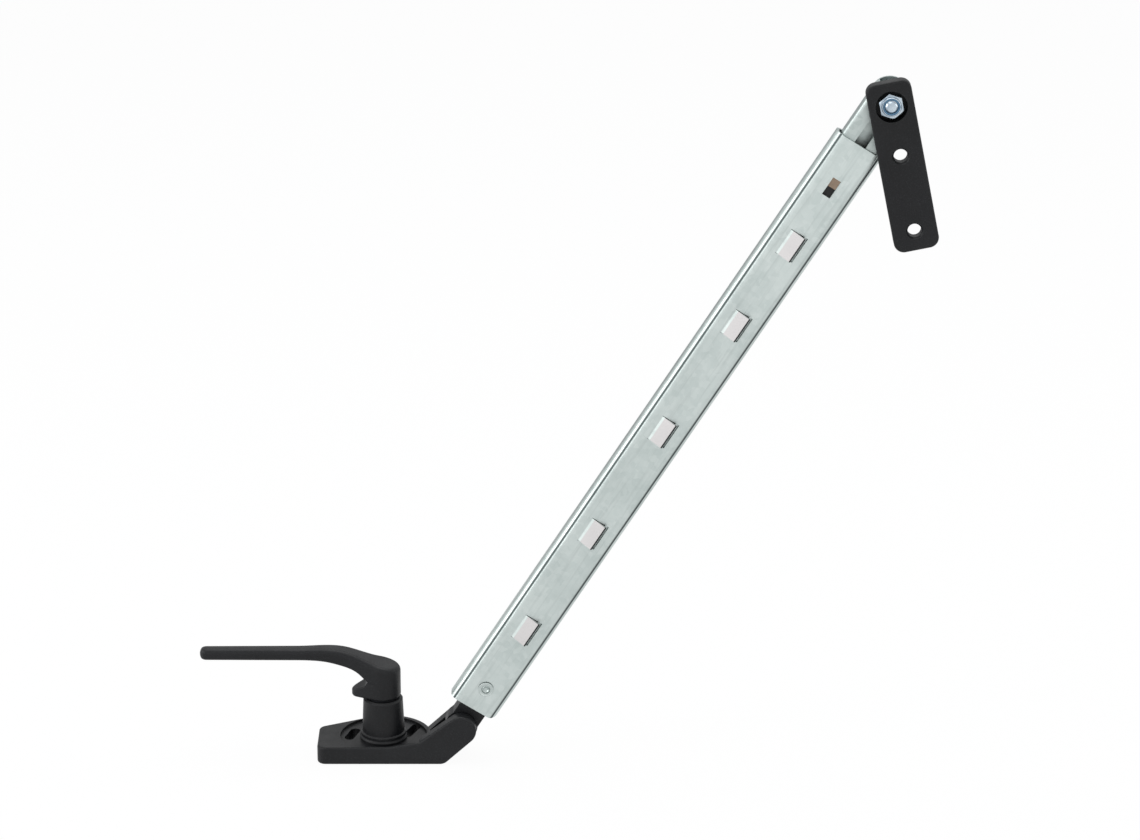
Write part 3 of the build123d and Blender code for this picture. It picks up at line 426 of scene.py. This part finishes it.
def moulded_plastic(name, light, shade, rough_from, rough_to):
    # Injection-moulded nylon, acetal or rubber: an even colour with a slight flow cloud 9 mm wide
    # and the mould's spark-eroded grain, which keeps the shine soft.
    finish, tree, surface, place = start_finish(name)
    flow = add_node(tree, "ShaderNodeTexNoise", {"Vector": place, "Scale": per(9), "Detail": 3.0})
    flowing = add_node(
        tree,
        "ShaderNodeMapRange",
        {"Value": flow.outputs["Fac"], "From Min": 0.35, "From Max": 0.65},
    )
    resin = add_node(
        tree,
        "ShaderNodeMix",
        {SHARE: flowing.outputs["Result"], FIRST: colour(light), SECOND: colour(shade)},
        data_type="RGBA",
    )
    sheen = add_node(tree, "ShaderNodeTexNoise", {"Vector": place, "Scale": per(2), "Detail": 2.0})
    rough = add_node(
        tree,
        "ShaderNodeMapRange",
        {
            "Value": sheen.outputs["Fac"],
            "From Min": 0.3,
            "From Max": 0.7,
            "To Min": rough_from,
            "To Max": rough_to,
        },
    )
    grain = add_node(
        tree, "ShaderNodeTexNoise", {"Vector": place, "Scale": per(0.35), "Detail": 2.0}
    )
    relief = add_node(
        tree,
        "ShaderNodeBump",
        {"Height": grain.outputs["Fac"], "Distance": 0.01 * MM, "Strength": 0.4},
    )
    tree.links.new(resin.outputs[MIXED], surface.inputs["Base Color"])
    tree.links.new(rough.outputs["Result"], surface.inputs["Roughness"])
    tree.links.new(relief.outputs["Normal"], surface.inputs["Normal"])
    return finish


# Each slot's finish: its name, its lighter and its darker colour, and its roughness from and to
finishes = {
    "black_coat": black_powder_coat(),
    # The plain strip is a darker copy of the outer rail's strip below: painted shade on the inner
    # rail
    "zinc_sheet": galvanised_strip("galvanised_strip_steel", "#b6bfbd", "#a6b0ae"),
    "bright_zinc": turned_steel("bright_zinc_plated_steel", "#c3ced6", "#a3b0bb", 0.2, 0.3),
    "hardened_steel": turned_steel("hardened_pawl_steel", "#6d6e70", "#5a5c60", 0.3, 0.4),
    "spring_steel": turned_steel("oiled_spring_steel", "#75726c", "#625f5a", 0.25, 0.35),
    "blue_nylon": moulded_plastic("moulded_blue_nylon", "#557f9f", "#48718f", 0.34, 0.46),
    "tan_acetal": moulded_plastic("moulded_tan_acetal", "#96806b", "#826e5b", 0.38, 0.5),
    "black_nylon": moulded_plastic("moulded_black_nylon", "#1c1c1e", "#262628", 0.44, 0.56),
    "black_rubber": moulded_plastic("moulded_black_rubber", "#121213", "#19191a", 0.64, 0.76),
}
for entry in frame["record"]["subparts"]:
    mesh = nodes[entry["node"]].data
    mesh.materials.clear()
    mesh.materials.append(finishes[entry["material_slot"]])

# The outer rail's folds and catches are where its own mesh has them
rail_mesh = nodes["outer_rail"].data
rail_front = min(vertex.co.y for vertex in rail_mesh.vertices)
reach = [vertex.co.dot(ACROSS_RAIL) for vertex in rail_mesh.vertices]
rail_middle = (min(reach) + max(reach)) / 2
catch_edge = min(
    vertex.co.dot(ACROSS_RAIL)
    for vertex in rail_mesh.vertices
    if vertex.co.y < rail_front + CATCH_TOP
)
rail_mesh.materials[0] = galvanised_strip(
    "roll_formed_galvanised_steel",
    "#c2cbc9",
    "#b3bdbb",
    fold_middle=rail_middle,
    face_at=rail_front + CATCH_RISE,
    catch_edge=catch_edge - rail_middle,
)
# Painted shade: the thrust washer is drawn near black for the dark gap between the lever's head and
# its socket
nodes["thrust_washer"].data.materials[0] = turned_steel(
    "washer_steel_darkened_as_shade", "#232427", "#1a1b1d", 0.45, 0.55
)


def turned(name, rows, origin, count=96):
    """A closed shell of rings about an axis pointing to the front (-Y), first row joined to last.

    A row is a radius and a height above the origin in millimetres; each may be a function of the
    angle, which is counted from straight down the sash plate.
    """
    down = Vector((cos(PLATE_ANGLE), 0, sin(PLATE_ANGLE)))
    ahead = Vector((0, -1, 0))
    across = ahead.cross(down)
    build = bmesh.new()
    rings = []
    for radius, height in rows:
        ring = []
        for step in range(count):
            angle = 2 * pi * step / count
            r = radius(angle) if callable(radius) else radius
            h = height(angle) if callable(height) else height
            outward = down * cos(angle) + across * sin(angle)
            ring.append(build.verts.new(origin + MM * (r * outward + h * ahead)))
        rings.append(ring)
    for low, high in zip(rings, rings[1:] + rings[:1]):
        for step in range(count):
            after = (step + 1) % count
            build.faces.new((low[step], low[after], high[after], high[step]))
    bmesh.ops.remove_doubles(build, verts=build.verts, dist=SAME_POINT)
    bmesh.ops.recalc_face_normals(build, faces=build.faces)
    mesh = bpy.data.meshes.new(name)
    build.to_mesh(mesh)
    build.free()
    return mesh


def dress(node, meshes, finish, body):
    """Joins closed meshes into the piece that stands in for a node, and lets it ride that body."""
    build = bmesh.new()
    for mesh in meshes:
        build.from_mesh(mesh)
    whole = bpy.data.meshes.new(node + "_dressed")
    build.to_mesh(whole)
    build.free()
    whole.materials.append(finish)
    # A grown mesh numbers its own finish, so every face is set to this one
    whole.polygons.foreach_set("material_index", [0] * len(whole.polygons))
    whole.shade_smooth()
    whole.set_sharp_from_angle(angle=CRISP_EDGE)
    piece = bpy.data.objects.new(node + "_dressed", whole)
    bpy.context.scene.collection.objects.link(piece)
    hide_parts(node)
    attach(piece, body)


def middle(node):
    """A node's middle in X and Z, with the Y of its front and of its back."""
    low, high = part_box(node)
    return (low.x + high.x) / 2, (low.z + high.z) / 2, low.y, high.y


def threaded_shank_tree():
    """Geometry Nodes for a shank along +Z whose far end carries a rolled thread and a chamfer."""
    tree = bpy.data.node_groups.new("threaded_shank", "GeometryNodeTree")
    for name in ("Radius", "Length", "Threaded length", "Pitch", "Depth", "Chamfer"):
        tree.interface.new_socket(name=name, in_out="INPUT", socket_type="NodeSocketFloat")
    for name in ("Sides", "Rings"):
        tree.interface.new_socket(name=name, in_out="INPUT", socket_type="NodeSocketInt")
    tree.interface.new_socket(name="Finish", in_out="INPUT", socket_type="NodeSocketMaterial")
    tree.interface.new_socket(name="Geometry", in_out="OUTPUT", socket_type="NodeSocketGeometry")
    given = add_node(tree, "NodeGroupInput", {}).outputs
    rod = add_node(
        tree,
        "GeometryNodeMeshCylinder",
        {
            "Vertices": given["Sides"],
            "Side Segments": given["Rings"],
            "Radius": given["Radius"],
            "Depth": given["Length"],
        },
        fill_type="TRIANGLE_FAN",
    )
    place = add_node(tree, "GeometryNodeInputPosition", {}).outputs["Position"]
    at = add_node(tree, "ShaderNodeSeparateXYZ", {"Vector": place}).outputs
    # How far round the helix a point is, in turns: its height in pitches less its angle in turns
    angle = add_node(tree, "ShaderNodeMath", {0: at["Y"], 1: at["X"]}, operation="ARCTAN2")
    turn = add_node(tree, "ShaderNodeMath", {0: angle.outputs[0], 1: 2 * pi}, operation="DIVIDE")
    pitches = add_node(tree, "ShaderNodeMath", {0: at["Z"], 1: given["Pitch"]}, operation="DIVIDE")
    ahead = add_node(
        tree, "ShaderNodeMath", {0: pitches.outputs[0], 1: turn.outputs[0]}, operation="SUBTRACT"
    )
    phase = add_node(tree, "ShaderNodeMath", {0: ahead.outputs[0]}, operation="FRACT")
    centred = add_node(tree, "ShaderNodeMath", {0: phase.outputs[0], 1: 0.5}, operation="SUBTRACT")
    side = add_node(tree, "ShaderNodeMath", {0: centred.outputs[0]}, operation="ABSOLUTE")
    # A flat crest an eighth of the pitch wide, then straight flanks down to a flat root
    cut = add_node(
        tree,
        "ShaderNodeMapRange",
        {"Value": side.outputs[0], "From Min": 0.0625, "From Max": 0.4},
    )
    # The thread runs out over one pitch
    half = add_node(tree, "ShaderNodeMath", {0: given["Length"], 1: 0.5}, operation="MULTIPLY")
    to_end = add_node(
        tree, "ShaderNodeMath", {0: half.outputs[0], 1: at["Z"]}, operation="SUBTRACT"
    )
    run_out = add_node(
        tree,
        "ShaderNodeMath",
        {0: given["Threaded length"], 1: given["Pitch"]},
        operation="SUBTRACT",
    )
    reached = add_node(
        tree,
        "ShaderNodeMapRange",
        {
            "Value": to_end.outputs[0],
            "From Min": given["Threaded length"],
            "From Max": run_out.outputs[0],
            "To Max": given["Depth"],
        },
    )
    groove = add_node(
        tree,
        "ShaderNodeMath",
        {0: cut.outputs["Result"], 1: reached.outputs["Result"]},
        operation="MULTIPLY",
    )
    crest = add_node(
        tree, "ShaderNodeMath", {0: given["Radius"], 1: groove.outputs[0]}, operation="SUBTRACT"
    )
    # The chamfer is a cone of 45 degrees at the end
    point = add_node(
        tree, "ShaderNodeMath", {0: given["Radius"], 1: given["Chamfer"]}, operation="SUBTRACT"
    )
    cone = add_node(
        tree, "ShaderNodeMath", {0: point.outputs[0], 1: to_end.outputs[0]}, operation="ADD"
    )
    outline = add_node(
        tree, "ShaderNodeMath", {0: crest.outputs[0], 1: cone.outputs[0]}, operation="MINIMUM"
    )
    share = add_node(
        tree, "ShaderNodeMath", {0: outline.outputs[0], 1: given["Radius"]}, operation="DIVIDE"
    )
    drawn_in = {
        axis: add_node(
            tree, "ShaderNodeMath", {0: at[axis], 1: share.outputs[0]}, operation="MULTIPLY"
        )
        for axis in ("X", "Y")
    }
    drawn = add_node(
        tree,
        "ShaderNodeCombineXYZ",
        {"X": drawn_in["X"].outputs[0], "Y": drawn_in["Y"].outputs[0], "Z": at["Z"]},
    )
    shaped = add_node(
        tree,
        "GeometryNodeSetPosition",
        {"Geometry": rod.outputs["Mesh"], "Position": drawn.outputs["Vector"]},
    )
    real = add_node(
        tree, "GeometryNodeRealizeInstances", {"Geometry": shaped.outputs["Geometry"]}
    )
    finished = add_node(
        tree,
        "GeometryNodeSetMaterial",
        {"Geometry": real.outputs["Geometry"], "Material": given["Finish"]},
    )
    add_node(tree, "NodeGroupOutput", {"Geometry": finished.outputs["Geometry"]})
    return tree


def grown(name, tree, sizes):
    """The plain mesh that a Geometry Nodes tree makes with these sizes."""
    seed = bpy.data.objects.new(name, bpy.data.meshes.new(name))
    bpy.context.scene.collection.objects.link(seed)
    modifier = seed.modifiers.new("grown", "NODES")
    modifier.node_group = tree
    for item in tree.interface.items_tree:
        if item.in_out == "INPUT":
            modifier[item.identifier] = sizes[item.name]
    bpy.context.view_layer.update()
    evaluated = seed.evaluated_get(bpy.context.evaluated_depsgraph_get())
    mesh = bpy.data.meshes.new_from_object(evaluated)
    seed.modifiers.remove(modifier)
    bpy.data.objects.remove(seed)
    return mesh


# Pivot bolt: a low round head behind the inner rail, and a shank with its thread showing in the nut.
# Here and below, a turned shell's own sizes are in millimetres.
BOLT_HEAD_HEIGHT = 2.8
THREAD_RING = 0.1 * MM  # the shank's rings are this far apart, which draws the thread's flanks
bolt_x, bolt_z, bolt_tip, bolt_back = middle("pivot_bolt")
shank_length = bolt_back - BOLT_HEAD_HEIGHT * MM - bolt_tip
shank = grown(
    "bolt_shank",
    threaded_shank_tree(),
    {
        "Radius": 3.0 * MM,
        "Length": shank_length,
        "Threaded length": 9.0 * MM,
        "Pitch": 1.0 * MM,
        "Depth": 0.55 * MM,
        "Chamfer": 0.9 * MM,
        "Sides": 64,
        "Rings": int(shank_length / THREAD_RING),
        "Finish": finishes["bright_zinc"],
    },
)
facing_front = Matrix.Rotation(pi / 2, 4, "X")
shank.transform(Matrix.Translation((bolt_x, bolt_tip + shank_length / 2, bolt_z)) @ facing_front)
bolt_head = turned(
    "bolt_head",
    [
        (0.0, 0.0),
        (4.0, 0.0),
        (4.46, 0.09),
        (4.85, 0.35),
        (5.11, 0.74),
        (5.2, 1.2),
        (5.2, BOLT_HEAD_HEIGHT - 0.15),
        (5.05, BOLT_HEAD_HEIGHT),
        (0.0, BOLT_HEAD_HEIGHT),
    ],
    Vector((bolt_x, bolt_back, bolt_z)),
)
dress("pivot_bolt", [shank, bolt_head], finishes["bright_zinc"], "slider")

# Lock nut: chamfered hexagon with its collar rolled in over the nylon
NUT_BORE = 3.03
NUT_HALF_FLATS = 5.0
NUT_CHAMFER_FROM = 5.1
NUT_CHAMFER_SLOPE = tan(radians(24))
COLLAR_BORE = 3.98
COLLAR_RISE = 0.9
nut_x, nut_z, nut_front, nut_seat = middle("lock_nut")
collar_top = (nut_seat - nut_front) / MM
nut_body = collar_top - COLLAR_RISE


def hexagon(angle):
    """How far out the nut's six flats are."""
    return NUT_HALF_FLATS / cos((angle % (pi / 3)) - pi / 6)


def chamfer_low(angle):
    """Where the flats begin above the seat: higher towards the corners."""
    return max(0.0, hexagon(angle) - NUT_CHAMFER_FROM) * NUT_CHAMFER_SLOPE


def chamfer_top(angle):
    """Where the flats end below the face: lower towards the corners."""
    return nut_body - chamfer_low(angle)


def chamfer_edge(angle):
    """The face's round rim, which stays just inside the flats."""
    return min(hexagon(angle) - 0.02, NUT_CHAMFER_FROM)


lock_nut = turned(
    "lock_nut_shell",
    [
        (NUT_BORE, 0.0),
        (NUT_BORE, nut_body),
        (COLLAR_BORE, nut_body),
        (COLLAR_BORE, collar_top - 0.42),
        (3.8, collar_top - 0.2),
        (3.84, collar_top - 0.06),
        (4.0, collar_top),
        (4.16, collar_top - 0.04),
        (4.32, collar_top - 0.25),
        (4.38, collar_top - 0.6),
        (4.5, nut_body),
        (chamfer_edge, nut_body),
        (hexagon, chamfer_top),
        (hexagon, chamfer_low),
        (chamfer_edge, 0.0),
    ],
    Vector((nut_x, nut_seat, nut_z)),
    count=144,
)
dress("lock_nut", [lock_nut], finishes["bright_zinc"], "slider")

# Rivet through rail and knuckle: a rolled ring round a dimple, drawn almost flush
RIVET_SHANK = 2.0
RIVET_HEAD_THICKNESS = 0.7  # of the plain head behind
rivet_x, rivet_z, rivet_front, rivet_back = middle("knuckle_rivet")
rivet_top = (rivet_back - rivet_front) / MM
knuckle_rivet = turned(
    "knuckle_rivet_shell",
    [
        (0.0, rivet_top - 0.75),
        (0.8, rivet_top - 0.7),
        (1.2, rivet_top - 0.3),
        (1.45, rivet_top - 0.12),
        (1.75, rivet_top - 0.3),
        (2.1, rivet_top - 0.62),
        (2.5, rivet_top - 0.55),
        (2.85, rivet_top - 0.1),
        (3.15, rivet_top),
        (3.4, rivet_top - 0.04),
        (3.5, rivet_top - 0.1),
        (RIVET_SHANK, rivet_top - 0.1),
        (RIVET_SHANK, RIVET_HEAD_THICKNESS),
        (3.1, RIVET_HEAD_THICKNESS),
        (2.7, 0.0),
        (0.0, 0.0),
    ],
    Vector((rivet_x, rivet_back, rivet_z)),
)
dress("knuckle_rivet", [knuckle_rivet], finishes["zinc_sheet"], "arm")

# Camera, solved from the photograph: its rise above level, what it looks at and from how far
CAMERA_RISE = radians(20.5)
CAMERA_AIM = Vector((0.087236, 0.0, 0.165738))
CAMERA_DISTANCE = 1.818
FOCAL_PIXELS = 4000
PICTURE_PIXELS = 1140  # across
SENSOR_WIDTH = 36.0
camera_data = bpy.data.cameras.new("camera")
camera_data.sensor_width = SENSOR_WIDTH
camera_data.sensor_fit = "HORIZONTAL"
camera_data.lens = SENSOR_WIDTH * FOCAL_PIXELS / PICTURE_PIXELS
camera = bpy.data.objects.new("camera", camera_data)
bpy.context.scene.collection.objects.link(camera)
camera.location = CAMERA_AIM + CAMERA_DISTANCE * Vector((0, -cos(CAMERA_RISE), sin(CAMERA_RISE)))
camera.rotation_euler = (pi / 2 - CAMERA_RISE, 0, 0)
bpy.context.scene.camera = camera


def white_paper():
    # Matt seamless paper: it takes the stay's shadow, and the camera, mirrored and passing rays see
    # it white, less so far behind the stay, where the sweep falls away into shade.
    finish, tree, surface, place = start_finish("white_paper")
    surface.inputs["Base Color"].default_value = colour("#f3f3f3")
    surface.inputs["Roughness"].default_value = 0.9
    ray = add_node(tree, "ShaderNodeLightPath", {}).outputs
    back = add_node(tree, "ShaderNodeSeparateXYZ", {"Vector": place})
    fading = add_node(
        tree,
        "ShaderNodeMapRange",
        {
            "Value": back.outputs["Y"],
            "From Min": 0.4,
            "From Max": 1.0,
            "To Min": 1.0,
            "To Max": 0.3,
        },
    )
    level = add_node(
        tree,
        "ShaderNodeMath",
        {0: ray["Is Camera Ray"], 1: fading.outputs["Result"]},
        operation="MAXIMUM",
    )
    white = add_node(
        tree, "ShaderNodeEmission", {"Color": colour("#ffffff"), "Strength": level.outputs[0]}
    )
    direct = add_node(
        tree,
        "ShaderNodeMath",
        {0: ray["Is Camera Ray"], 1: ray["Is Glossy Ray"]},
        operation="MAXIMUM",
    )
    # A twentieth stays lit paper, so that the shadow shows
    shown = add_node(tree, "ShaderNodeMath", {0: direct.outputs[0], 1: 0.95}, operation="MULTIPLY")
    all_shown = add_node(
        tree,
        "ShaderNodeMath",
        {0: shown.outputs[0], 1: ray["Is Transmission Ray"]},
        operation="MAXIMUM",
    )
    mixed = add_node(
        tree,
        "ShaderNodeMixShader",
        {0: all_shown.outputs[0], 1: surface.outputs["BSDF"], 2: white.outputs["Emission"]},
    )
    tree.links.new(mixed.outputs["Shader"], tree.nodes["Material Output"].inputs["Surface"])
    return finish


FLOOR_REACH = 6.0
floor_mesh = bpy.data.meshes.new("floor")
build = bmesh.new()
bmesh.ops.create_grid(build, x_segments=1, y_segments=1, size=FLOOR_REACH)
build.to_mesh(floor_mesh)
build.free()
floor = bpy.data.objects.new("floor", floor_mesh)
bpy.context.scene.collection.objects.link(floor)
floor_mesh.materials.append(white_paper())


def white_room():
    """Plain soft daylight on the stay, white where the camera or a mirrored ray looks at it."""
    world = bpy.data.worlds.new("studio")
    world.use_nodes = True
    tree = world.node_tree
    room = tree.nodes["Background"]
    room.inputs["Color"].default_value = (0.93, 0.96, 1.0, 1)  # linear, a little blue
    room.inputs["Strength"].default_value = 0.4
    bright = add_node(tree, "ShaderNodeBackground", {"Color": colour("#ffffff"), "Strength": 1.0})
    ray = add_node(tree, "ShaderNodeLightPath", {}).outputs
    direction = add_node(tree, "ShaderNodeTexCoord", {}).outputs["Generated"]
    way = add_node(tree, "ShaderNodeSeparateXYZ", {"Vector": direction}).outputs
    # The wall behind the stay is in shade low down, which draws the dark line along the flank
    behind = add_node(
        tree, "ShaderNodeMapRange", {"Value": way["Y"], "From Min": 0.45, "From Max": 0.75}
    )
    low_down = add_node(
        tree, "ShaderNodeMapRange", {"Value": way["Z"], "From Min": 0.32, "From Max": 0.05}
    )
    shade = add_node(
        tree,
        "ShaderNodeMath",
        {0: behind.outputs["Result"], 1: low_down.outputs["Result"]},
        operation="MULTIPLY",
    )
    open_share = add_node(
        tree,
        "ShaderNodeMapRange",
        {"Value": shade.outputs[0], "To Min": 0.9, "To Max": 0.15},
    )
    mirrored = add_node(
        tree,
        "ShaderNodeMath",
        {0: ray["Is Glossy Ray"], 1: open_share.outputs["Result"]},
        operation="MULTIPLY",
    )
    shown = add_node(
        tree,
        "ShaderNodeMath",
        {0: ray["Is Camera Ray"], 1: ray["Is Transmission Ray"]},
        operation="MAXIMUM",
    )
    all_shown = add_node(
        tree, "ShaderNodeMath", {0: shown.outputs[0], 1: mirrored.outputs[0]}, operation="MAXIMUM"
    )
    mixed = add_node(
        tree,
        "ShaderNodeMixShader",
        {0: all_shown.outputs[0], 1: room.outputs["Background"], 2: bright.outputs["Background"]},
    )
    tree.links.new(mixed.outputs["Shader"], tree.nodes["World Output"].inputs["Surface"])
    return world


def softbox(name, place, aim, width, height, watts):
    """An area lamp at a place, facing the point that it is aimed at."""
    data = bpy.data.lights.new(name, "AREA")
    data.shape = "RECTANGLE"
    data.size = width
    data.size_y = height
    data.energy = watts
    box = bpy.data.objects.new(name, data)
    bpy.context.scene.collection.objects.link(box)
    box.location = place
    box.rotation_euler = (Vector(aim) - Vector(place)).to_track_quat("-Z", "Y").to_euler()


bpy.context.scene.world = white_room()
softbox("key_left", (-1.15, -1.25, 0.5), (0.1, 0, 0.14), width=1.2, height=1.6, watts=6)
softbox("front_fill", (0.5, -1.7, 0.35), (0.12, 0, 0.15), width=1.6, height=1.2, watts=4)
softbox("top", (0.0, 0.2, 1.5), (0.1, 0, 0.1), width=1.6, height=1.2, watts=15)
softbox("left_edge", (-1.4, -0.3, 0.5), (0.1, 0, 0.15), width=0.6, height=1.2, watts=8)
softbox("right_edge", (1.3, 0.1, 0.6), (0.1, 0, 0.15), width=0.4, height=0.9, watts=3)

bpy.context.scene.view_settings.view_transform = "Standard"
